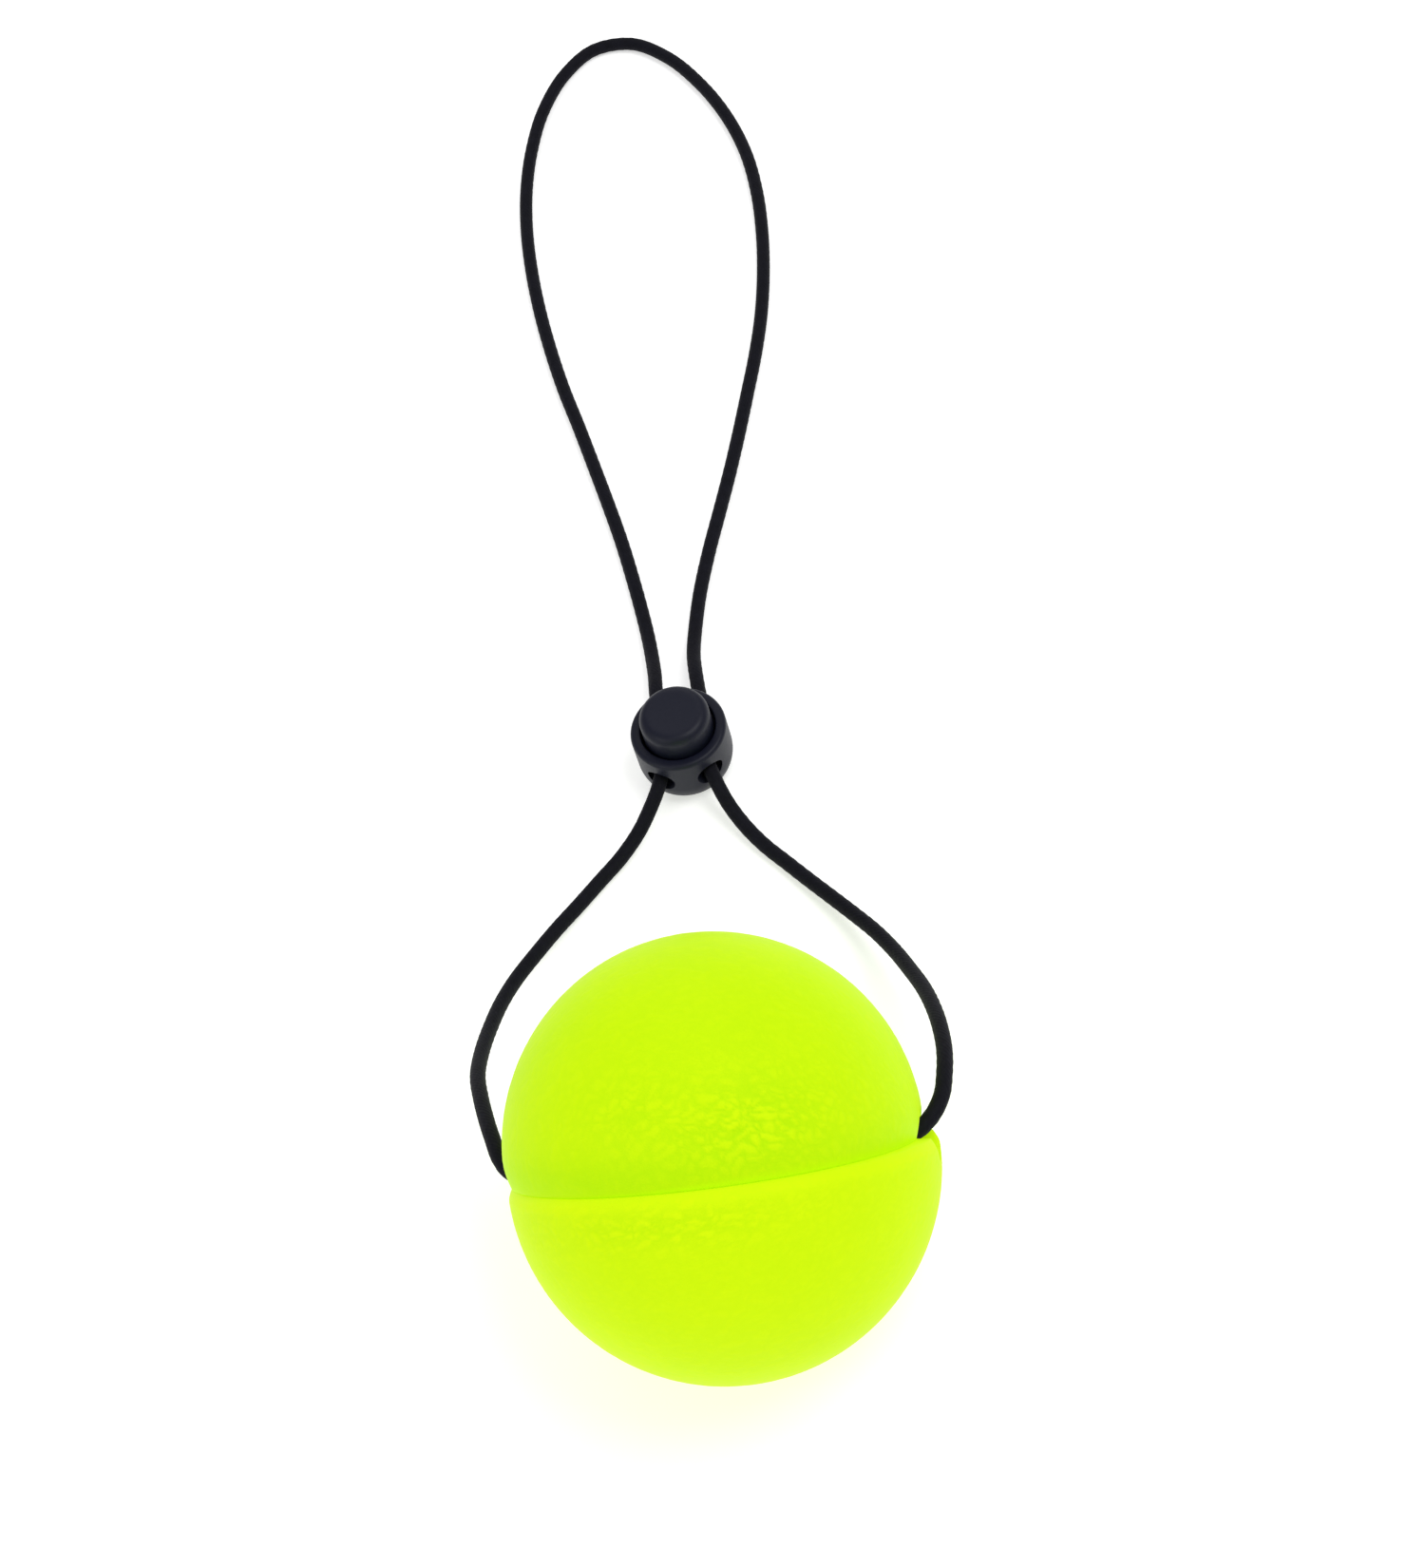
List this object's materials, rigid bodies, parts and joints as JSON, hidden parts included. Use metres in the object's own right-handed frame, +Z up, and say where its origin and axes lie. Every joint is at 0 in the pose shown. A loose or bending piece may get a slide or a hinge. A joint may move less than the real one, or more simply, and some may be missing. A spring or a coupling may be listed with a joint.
{
  "type": "hand exercise ball on a wrist cord",
  "caption": "Soft rubber hand ball with a groove round it, held on an elastic cord whose loop is set by a spring cord lock.",
  "frame": {"origin": "on the resting surface under the middle of the ball", "axes": "+Z up, +X nearly along the cord's bore through the ball (the bore is turned 2.3 degrees from it), +Y from the ball towards the lock and the loop"},
  "size_m": [0.0593, 0.2354, 0.0507],
  "materials": {
    "neon_rubber": "semi-matte leather grain",
    "black_cord": "braided elastic, matte",
    "black_plastic": "moulded, satin",
    "spring_steel": "drawn wire"
  },
  "bodies": {
    "ball": {"ball_upper_half": "neon_rubber", "ball_lower_half": "neon_rubber"},
    "cord": {"cord_left_strand": "black_cord", "cord_right_strand": "black_cord", "cord_loop": "black_cord", "cord_left_in_ball": "black_cord", "cord_right_in_ball": "black_cord", "cord_knot": "black_cord"},
    "lock": {"lock_housing": "black_plastic", "lock_spring": "spring_steel"},
    "button": {"lock_button": "black_plastic"}
  },
  "joints": [
    {"name": "cord_swing", "type": "hinge", "parent": "ball", "child": "cord", "pos_m": [0, 0, 0.02528], "axis": [0.9992, -0.0401, 0], "range_deg": [0, 100]},
    {"name": "lock_slide", "type": "slide", "parent": "cord", "child": "lock", "axis": [0, 1, 0], "range_m": [-0.025, 0.06], "deforming": ["cord_left_strand", "cord_right_strand", "cord_loop"]},
    {"name": "button_press", "type": "slide", "parent": "lock", "child": "button", "axis": [0, 0, -1], "range_m": [0, 0.0012], "stiffness_N_per_m": 400, "springref_m": -0.003, "deforming": ["lock_spring"]}
  ]
}
